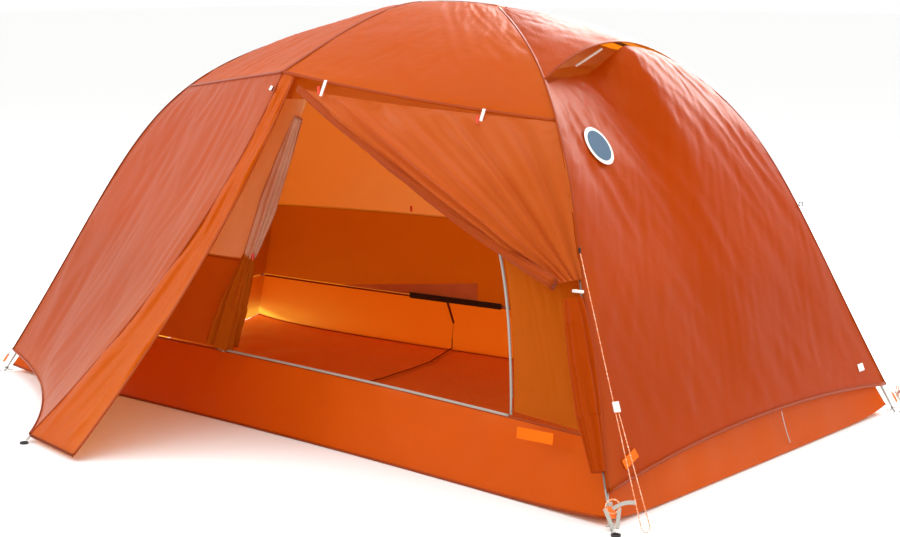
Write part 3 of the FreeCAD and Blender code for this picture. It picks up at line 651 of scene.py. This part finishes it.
def part_mesh(name, solid, mesh_colour, seam):
    """A wall sewn from solid cloth with a mesh top, parted at a level seam with a darker tape."""
    made = solid.copy()
    made.name = name
    tree = made.node_tree
    face = next(n for n in tree.nodes if n.type == "BSDF_PRINCIPLED")
    dye = face.inputs["Base Color"].links[0].from_socket
    place = add(tree, "ShaderNodeTexCoord")
    height = add(tree, "ShaderNodeSeparateXYZ", links={"Vector": place.outputs["Object"]})
    above = add(tree, "ShaderNodeMath", {"operation": "GREATER_THAN", 1: seam}, {0: height.outputs["Z"]})
    off = add(tree, "ShaderNodeMath", {"operation": "SUBTRACT", 1: seam}, {0: height.outputs["Z"]})
    gap = add(tree, "ShaderNodeMath", {"operation": "ABSOLUTE"}, {0: off.outputs[0]})
    near = add(tree, "ShaderNodeMath", {"operation": "LESS_THAN", 1: 0.004}, {0: gap.outputs[0]})
    top = add(tree, "ShaderNodeMix", {"data_type": "RGBA", "B": linear(mesh_colour)},
              {"Factor": above.outputs[0], "A": dye})
    taped = add(tree, "ShaderNodeMix", {"data_type": "RGBA", "B": linear("#7a2400")},
                {"Factor": near.outputs[0], "A": top.outputs["Result"]})
    tree.links.new(taped.outputs["Result"], face.inputs["Base Color"])
    glow = next(n for n in tree.nodes if n.type == "BSDF_TRANSLUCENT")
    through = add(tree, "ShaderNodeMix", {"data_type": "RGBA", "A": glow.inputs["Color"].default_value,
                                          "B": linear("#ffe2b0")}, {"Factor": above.outputs[0]})
    tree.links.new(through.outputs["Result"], glow.inputs["Color"])
    return made


rear_cloth = part_mesh("inner_wall_mesh_top", wall_cloth, "#ffd8a8", MESH_SEAM)
floor_cloth = nylon("coated_floor_nylon", "#f8984a", "#ee8a3c", 0.06, roughness=0.4, sheen=0.05,
                    crinkle=0.003)


def netting(name, colour, open_share):
    """Fine knitted mesh, whose holes are far too small to show, so that it is simply partly clear."""
    made, tree = material(name)
    place = add(tree, "ShaderNodeTexCoord")
    drift = add(tree, "ShaderNodeTexNoise", {"Scale": 6.0, "Detail": 2.0},
                {"Vector": place.outputs["Object"]})
    dye = add(tree, "ShaderNodeMix", {"data_type": "RGBA", "A": linear(colour), "B": linear("#b85a24")},
              {"Factor": drift.outputs["Fac"]})
    yarn = add(tree, "ShaderNodeBsdfPrincipled", {"Roughness": 0.8}, {"Base Color": dye.outputs["Result"]})
    hole = add(tree, "ShaderNodeBsdfTransparent")
    both = add(tree, "ShaderNodeMixShader", {"Fac": open_share},
               {1: yarn.outputs["BSDF"], 2: hole.outputs["BSDF"]})
    add(tree, "ShaderNodeOutputMaterial", links={"Surface": both.outputs["Shader"]})
    return made


door_mesh = netting("knitted_mesh", "#d9803c", 0.35)


def corner_pull(t):
    """How the straps draw an edge of the floor up towards its two corners."""
    return Vector((0, 0, CORNER_LIFT * abs(2 * t - 1) ** 8))


def level_edge(side, height):
    foot = leg_at("foot", side, height, INSET)
    head = leg_at("head", side, height, INSET)
    return line(foot, head, (0, side * -0.040, 0))


def level_end(end):
    return line(leg_at(end, -1, FLOOR_TOP, INSET), leg_at(end, 1, FLOOR_TOP, INSET))


def floor_edge(side, height=FLOOR_TOP):
    level = level_edge(side, height)
    return lambda t: level(t) + (corner_pull(t) if height == FLOOR_TOP else Vector((0, 0, 0)))


def floor_end(end):
    level = level_end(end)
    return lambda t: level(t) + corner_pull(t)


def ground(u, v, p, wide, tall):
    """The floor lies nearly flat, and its four corners are drawn up."""
    corner = CORNER_LIFT * abs((2 * u - 1) * (2 * v - 1)) ** 8
    return corner + taut(u, v) * (0.0035 + 0.0035 * ripple(p, 0.10, 3.0))


def tub_corner(end, side):
    """The tub's upright corner, from the floor's raised corner to the sill."""
    upright = leg_span(end, side, FLOOR_TOP, SILL, INSET)
    return lambda t: upright(t) + Vector((0, 0, CORNER_LIFT * (1 - t)))


def wall_line(side, height, x0, x1):
    edge = floor_edge(side, height)
    reach = edge(1).x - edge(0).x
    a, b = (x0 - edge(0).x) / reach, (x1 - edge(0).x) / reach
    return lambda t: edge(a + (b - a) * t)


def peak_at(side):
    return Vector((DOOR_HEAD[0], side * DOOR_HEAD[1], DOOR_HEAD[2]))


def door_left(side):
    return line(wall_line(side, WALL_FOOT, DOOR_SILL[0], 0)(0), peak_at(side))


def door_right(side):
    low = wall_line(side, WALL_FOOT, DOOR_SILL[1], 0)(0)
    arch = (low, Vector((low.x - 0.020, side * 0.542, 0.856)), Vector((0.500, side * 0.463, 0.850)),
            peak_at(side))
    return lambda t: bezier(arch, t)


panel("groundsheet", (level_edge(-1, FLOOR_TOP), level_edge(1, FLOOR_TOP), level_end("foot"),
                      level_end("head")),
      (150, 90), floor_cloth, nodes=("floor",), inner=Vector((0, 0, -5)),
      shape=ground, lift=-0.001)

for name, side in SIDES.items():
    panel("tub_" + name, (floor_edge(side), floor_edge(side, SILL), tub_corner("foot", side),
                          tub_corner("head", side)),
          (150, 22), tub_cloth if name == "front" else tub_cloth_painted_light,
          nodes=("bathtub_" + name,),
          shape=lambda u, v, p, wide, tall: 0.004 * taut(u, v) * ripple(p, 0.09, 2.0))
    low = leg_at("foot", side, WALL_FOOT, INSET)
    panel("wall_foot_" + name + "_cloth",
          (wall_line(side, WALL_FOOT, low.x, DOOR_SILL[0]),
           line(leg_at("foot", side, INNER_SEAM["foot"], INSET), peak_at(side)),
           leg_span("foot", side, WALL_FOOT, INNER_SEAM["foot"], INSET), door_left(side)),
          (60, 60), rear_cloth, nodes=("wall_foot_" + name,), swell=(0, side * 0.045, 0),
          shape=drum(0.14, 0.005, 2.0))
    head_low = leg_at("head", side, WALL_FOOT, INSET)
    panel("wall_head_" + name + "_cloth",
          (line(door_right(side)(0) + ZIP_ROOM, head_low),
           line(peak_at(side) + ZIP_ROOM, leg_at("head", side, INNER_SEAM["head"], INSET)),
           lambda t, s=side: door_right(s)(t) + ZIP_ROOM,
           leg_span("head", side, WALL_FOOT, INNER_SEAM["head"], INSET)),
          (50, 60), wall_cloth, nodes=("wall_head_" + name,),
          shape=drum(0.14, 0.003, 4.0))

rear_door = (door_left(1),
             lambda t: door_right(1)(0.97 * t) + Vector((-0.008, 0, -0.008 * t)))
panel("rear_door", (line(rear_door[0](0), rear_door[1](0), (0, -0.009, 0)),
                    line(rear_door[0](1), rear_door[1](1)), *rear_door),
      (70, 70), rear_cloth, nodes=("door_back",),
      shape=drum(0.15, 0.004, 5.0))

for end in ("head", "foot"):
    outward = 1 if end == "head" else -1
    first, last = (-1, 1) if end == "head" else (1, -1)
    level = {h: line(leg_at(end, first, h, INSET), leg_at(end, last, h, INSET))
             for h in (SILL, WALL_FOOT, SHOULDER, INNER_CROWN[end])}
    low_edge = floor_end(end) if end == "head" else reverse(floor_end(end))
    panel("tub_" + end, (low_edge, level[SILL], tub_corner(end, first), tub_corner(end, last)),
          (90, 22), tub_cloth if end == "head" else tub_cloth_painted_light,
          nodes=("bathtub_" + end,),
          shape=lambda u, v, p, wide, tall: 0.003 * taut(u, v) * ripple(p, 0.09, 5.0))
    shoulder = line(level[SHOULDER](0), level[SHOULDER](1), (-0.040 * outward, 0, 0))
    panel("end_wall_" + end, (level[WALL_FOOT], shoulder, leg_span(end, first, WALL_FOOT, SHOULDER, INSET),
                              leg_span(end, last, WALL_FOOT, SHOULDER, INSET)),
          (60, 60), rear_cloth, nodes=("wall_" + end,),
          shape=drum(0.15, 0.004, 6.0))
    panel("end_mesh_" + end, (shoulder, level[INNER_CROWN[end]],
                              leg_span(end, first, SHOULDER, INNER_CROWN[end], INSET),
                              leg_span(end, last, SHOULDER, INNER_CROWN[end], INSET)),
          (40, 30), door_mesh, swell=(-0.075 * outward, 0, -0.010))
    for name, side in SIDES.items():
        seam_end = leg_at(end, side, INNER_SEAM[end], INSET)
        crown_end = leg_at(end, side, INNER_CROWN[end], INSET)
        panel("canopy_" + end + "_" + name + "_mesh",
              (line(peak_at(side), seam_end), line(CANOPY_CROWN, crown_end),
               line(peak_at(side), CANOPY_CROWN, (0, 0, 0.045)),
               leg_span(end, side, INNER_SEAM[end], INNER_CROWN[end], INSET)),
              (40, 40), door_mesh, nodes=("canopy_" + end,) if side < 0 else ())

hinge_side = door_left(-1)
DOOR_ROLL = ((0.03, 0.040), (0.2, 0.034), (0.39, 0.015), (0.6, 0.022), (0.8, 0.017), (0.93, 0.011))
door_path = along_roll([hinge_side(t) + Vector((0.2 * r, -0.010, 0)) for t, r in DOOR_ROLL])
door_size = along_roll([r for _, r in DOOR_ROLL])
DOOR_TIE = 0.42           # share of the roll's length, where the toggle ties it


def stretch_of(path, low, high):
    return lambda t: path(low + (high - low) * t)


gathered("front_door_gathered", stretch_of(door_path, 0, DOOR_TIE), stretch_of(door_size, 0, DOOR_TIE), 11,
         wall_cloth, nodes=("door_front",), rings=50, spokes=90, depth=0.26)
pale_mesh = netting("gathered_door_mesh", "#d3a48a", 0.12)
gathered("front_door_mesh_gathered", stretch_of(door_path, DOOR_TIE - 0.02, 1),
         stretch_of(door_size, DOOR_TIE - 0.02, 1),
         8, pale_mesh, rings=60, spokes=64, depth=0.24, seed=2.0)

# ---- Seams, hems and bindings ----
# Every panel edge is felled and stitched, which shows as a slightly darker raised band. The loose hems
# are bound with grosgrain. A bound seam also curves down the rear of the tub and over the floor.
seam_cloth = nylon("felled_seam", "#a03a04", "#943202", 0.05, crinkle=0.0006)
binding = nylon("grosgrain_binding", "#7c2c08", "#6e2606", 0.0, roughness=0.7, crinkle=0.0004)
bright_patch = nylon("reinforcement_patch", "#ff7a10", "#f86c06", 0.1, crinkle=0.0006)


def tape(name, path, face, width, finish, lift=0.001, thickness=0.0008, count=40):
    """A flat band sewn along a path. face(t) is the direction that it faces."""
    bm = bmesh.new()
    bmesh.ops.create_grid(bm, x_segments=count, y_segments=2, size=0.5)
    uv = bm.loops.layers.uv.new("UVMap")
    reach = length_of(path)
    for item in bm.faces:
        for loop in item.loops:
            loop[uv].uv = ((loop.vert.co.x + 0.5) * reach, loop.vert.co.y * width)
    for vert in bm.verts:
        t, across = vert.co.x + 0.5, vert.co.y
        along = path(min(1, t + 0.004)) - path(max(0, t - 0.004))
        out = face(t).normalized()
        sideways = along.cross(out).normalized()
        out = sideways.cross(along).normalized()
        vert.co = path(t) + sideways * (across * width) + out * lift
    bmesh.ops.recalc_face_normals(bm, faces=bm.faces)
    bmesh.ops.solidify(bm, geom=bm.faces[:], thickness=-thickness)
    bmesh.ops.recalc_face_normals(bm, faces=bm.faces)
    return make(name, bm, finish)


def away(path, lean=(0, 0, 0)):
    return lambda t: path(t) - TENT_MIDDLE + Vector(lean)


for end in ("head", "foot"):
    for name, side in SIDES.items():
        leg_seam = leg_span(end, side, HEM_HEIGHT[end], CROWN[end] - 0.004)
        tape("leg_seam_" + end + "_" + name, leg_seam, away(leg_seam), 0.009, seam_cloth,
             count=90)
        over_door = brow_seam(end, side)
        tape("brow_seam_" + end + "_" + name, over_door, away(over_door), 0.009, seam_cloth,
             lift=0.0015)
for name, side in SIDES.items():
    over_pole = brow(side)
    tape("cross_pole_seam_" + name, over_pole, away(over_pole), 0.010, seam_cloth,
         lift=0.0015)
for end in ("head", "foot"):
    half_ridge = line(RIDGE, leg_point(end, 1, 0.0), (0, 0, 0.006))
    tape("ridge_seam_" + end, half_ridge, away(half_ridge), 0.010, seam_cloth, lift=0.0015)
tape("head_hem", hem_head, away(hem_head), 0.010, seam_cloth, lift=0.0012)
tape("foot_hem", hem_foot, away(hem_foot), 0.010, seam_cloth, lift=0.0012)
tape("hood_hem", hood_edge, away(hood_edge), 0.007, seam_cloth, lift=0.0012)
for name, side in SIDES.items():
    porch_hem = line(leg_at("foot", side, HEM_HEIGHT["foot"]), zip_line(side)(0), (0.046, side * -0.038, 0))
    tape("vestibule_hem_" + name, porch_hem, away(porch_hem), 0.009, seam_cloth)
flap_foot = line(front_zip(0), flap_edge(0))
tape("storm_flap_binding", flap_foot, away(flap_foot), 0.010, binding, lift=0.0015)
tape("storm_flap_hem", flap_edge, away(flap_edge), 0.008, seam_cloth, lift=0.0015)
tape("drawn_back_hem", drawn_edge, away(drawn_edge, (0, -0.5, 0)), 0.009, seam_cloth,
     lift=0.001)
tape("vestibule_zip_seam", front_zip, away(front_zip), 0.007, seam_cloth, lift=0.001)
zip_tape = plastic("zip_tape_grey", "#a39d92", 0.75)
RIM = {"front": 0.006, "back": 0.030}       # the rear zip's tape also spans the gap beside the closed door
for name, side in SIDES.items():
    sill_run = wall_line(side, SILL + 0.003, DOOR_SILL[0], DOOR_SILL[1] - 0.008)
    tape("sill_zip_tape_" + name, sill_run, lambda t, s=side: Vector((0, s, 0.1)), 0.006, zip_tape,
         lift=0.0035, count=60)
    arch_run = stretch_of(door_right(side), 0.0, 0.985)
    tape("arch_zip_tape_" + name, arch_run, lambda t, s=side: Vector((0, s, 0.1)), RIM[name],
         zip_tape if name == "front" else seam_cloth, lift=0.0035, count=70)


def on_rear_tub(x, height):
    return wall_line(1, height, x, 0)(0) + Vector((0, -0.007, 0))


CURVED_SEAM = (on_rear_tub(-0.257, 0.171), on_rear_tub(-0.252, 0.103), on_rear_tub(-0.273, 0.047),
               Vector((-0.285, 0.530, 0.013)), Vector((-0.209, 0.335, 0.013)),
               Vector((-0.190, 0.223, 0.013)), Vector((-0.173, 0.072, 0.013)),
               Vector((-0.176, -0.049, 0.013)),
               Vector((-0.190, -0.200, 0.013)))
tape("floor_curved_seam", along_roll(CURVED_SEAM), lambda t: Vector((0.1, -0.5, 1.0)), 0.007, binding,
     lift=0.001, count=90)
for name, side in SIDES.items():
    for level_name, height in (("floor", FLOOR_TOP), ("sill", SILL)):
        rim = floor_edge(side, height)
        tape("tub_" + level_name + "_seam_" + name, rim, lambda t, s=side: Vector((0, s, 0.1)), 0.006,
             seam_cloth, lift=0.001, count=60)

# ---- Zips, ties and small fittings ----
# The door's coil zip is pale grey nylon on grey tape. Toggles are red, on white webbing tabs, and the
# sliders are cast metal.
grey_web, tree = material("woven_grey_webbing")
place = add(tree, "ShaderNodeTexCoord")
rib = add(tree, "ShaderNodeTexWave", {"Scale": 320.0, "Distortion": 1.0},
          {"Vector": place.outputs["Object"]})
tone = add(tree, "ShaderNodeMix", {"data_type": "RGBA", "A": linear("#a9a39a"), "B": linear("#c4bfb5")},
           {"Factor": rib.outputs["Fac"]})
relief = add(tree, "ShaderNodeBump", {"Strength": 0.4, "Distance": 0.0004}, {"Height": rib.outputs["Fac"]})
shader = add(tree, "ShaderNodeBsdfPrincipled", {"Roughness": 0.8},
             {"Base Color": tone.outputs["Result"], "Normal": relief.outputs["Normal"]})
add(tree, "ShaderNodeOutputMaterial", links={"Surface": shader.outputs["BSDF"]})

finishes = {"door_zip_front": grey_web, "door_zip_back": grey_web, "corner_webbing": grey_web,
            "hem_tie": grey_web, "vestibule_tie": white_acetal, "tie_toggles": red_acetal,
            "vent_prop": white_acetal,
            "guy_tensioner": white_acetal, "fly_buckles": orange_acetal, "pocket_bar": black_nylon,
            "door_slider": machined, "vestibule_slider_front": machined, "vestibule_slider_back": machined}
for node, finish in finishes.items():
    finish_node(node, finish)
pocket_mesh = netting("gear_pocket_mesh", "#ffb878", 0.35)
for node in ("gear_pocket", "vent_mesh"):
    finish_node(node, pocket_mesh)


for number, t in enumerate((0.22, 0.80)):
    top = brow_seam("head", -1)(t)
    strip = line(top + Vector((0, -0.006, 0.004)), top + Vector((0.004, -0.030, -0.034)))
    tape("toggle_tab_" + str(number), strip, lambda q: Vector((0.3, -1, 0.2)), 0.008, white_acetal,
         lift=0.004, count=8)


# ---- Corner straps ----
# At each head corner the fly and the tub are drawn to the pole tip by grey webbing in a V, through an
# orange side-release buckle with a tail left hanging, and a cord loop holds the fly's own corner.
for name, side in SIDES.items():
    knot_at = leg_at("head", side, 0.052)
    out = Vector((TIP["head"][0] - HUB_X["head"], side * TIP["head"][1], 0)).normalized()
    across = Vector((-out.y, out.x, 0))
    foot_at = Vector((TIP["head"][0], side * TIP["head"][1], 0.012)) + out * 0.006
    for number, lean in enumerate((-1, 1)):
        leg_of_v = line(knot_at + across * (0.016 * lean) + out * 0.012, foot_at + across * (0.004 * lean))
        tape("corner_v_" + name + "_" + str(number), leg_of_v, lambda t, o=out: o, 0.009, grey_web,
             lift=0.004, count=10, thickness=0.0012)
    tail = line(knot_at + out * 0.016,
                knot_at + out * 0.022 + across * (-0.050 * side) + Vector((0, 0, 0.012)), (0, 0, 0.006))
    tape("corner_tail_" + name, tail, lambda t, o=out: o, 0.009, grey_web, lift=0.002,
         count=16, thickness=0.0012)
    loop_points = [knot_at + out * 0.018 + across * (0.016 * math.cos(a))
                   + Vector((0, 0, 0.016 * math.sin(a) + 0.006))
                   for a in (i * math.pi / 8 for i in range(16))]
    ring = along_roll(loop_points + loop_points[:1])
    gathered("corner_cord_" + name, ring, lambda t: 0.0016, 3, braid, rings=48, spokes=10,
             depth=0.0, twist=0.0)


# ---- Badge, label and patches ----
# Sewn on the outside: a plain round badge on the head end, a small plain woven label low on the same
# panel, a bright reinforcement at the fly's near corner and another on the tub. None carries a mark.
def patch(name, middle, facing, size, finish, slot, corners=4, turn=0.0, lift=0.004):
    """A flat cut piece, square or many-sided, sewn on at a place and facing outwards."""
    bm = bmesh.new()
    bmesh.ops.create_circle(bm, cap_ends=True, segments=corners, radius=0.5)
    angle = math.pi / 4 if corners == 4 else 0.0
    grow = math.sqrt(2) if corners == 4 else 1.0
    bmesh.ops.rotate(bm, verts=bm.verts, cent=(0, 0, 0), matrix=Matrix.Rotation(angle, 3, "Z"))
    bmesh.ops.scale(bm, verts=bm.verts, vec=(size[0] * grow, size[1] * grow, 1))
    raised = bmesh.ops.extrude_face_region(bm, geom=bm.faces[:])
    bmesh.ops.translate(bm, verts=[g for g in raised["geom"] if isinstance(g, bmesh.types.BMVert)],
                        vec=(0, 0, 0.0012))
    bmesh.ops.recalc_face_normals(bm, faces=bm.faces)
    facing = Vector(facing).normalized()
    turned = facing.to_track_quat("Z", "Y").to_matrix() @ Matrix.Rotation(turn, 3, "Z")
    bmesh.ops.rotate(bm, verts=bm.verts, cent=(0, 0, 0), matrix=turned)
    bmesh.ops.translate(bm, verts=bm.verts, vec=Vector(middle) + facing * lift)
    return make(name, bm, finish, smooth=False)


def on_cloth(sheet, place, reach):
    """Where a flat patch of this reach lies on a sheet, nearest to a place, and which way it faces."""
    spot = min(sheet.data.vertices, key=lambda vertex: (vertex.co - Vector(place)).length).co
    near = [vertex for vertex in sheet.data.vertices if (vertex.co - spot).length < reach]
    facing = sum((vertex.normal for vertex in near), Vector()).normalized()
    return spot + facing * max((vertex.co - spot).dot(facing) for vertex in near), facing


corner_cloth = on_cloth(head_end, leg_at("head", -1, 0.128) + Vector((0.004, 0.085, 0)), 0.030)
patch("fly_corner_reinforcement", *corner_cloth, (0.060, 0.022), bright_patch, "fly_fabric", turn=0.30,
      lift=0.001)

badge_rim = plastic("woven_badge_rim", "#eeece6", 0.7)
badge_field = plastic("woven_badge_field", "#3d5a73", 0.7)
BADGE_RIM, BADGE_FIELD = (0.094, 0.104), (0.075, 0.083)
badge_cloth = on_cloth(head_end, (0.915, -0.272, 0.842), BADGE_RIM[1] / 2)
patch("badge_rim", *badge_cloth, BADGE_RIM, badge_rim, "fly_fabric", corners=48, lift=0.001)
patch("badge_field", *badge_cloth, BADGE_FIELD, badge_field, "fly_fabric", corners=48, lift=0.0025)
patch("head_label", *on_cloth(head_end, (1.107, 0.557, 0.141), 0.018), (0.030, 0.020), badge_rim,
      "fly_fabric",
      lift=0.001)
patch("tub_reinforcement", (0.92, -0.636, 0.165), (0.02, -1, 0.12), (0.10, 0.026), bright_patch,
      "bathtub_fabric",
      lift=0.006)
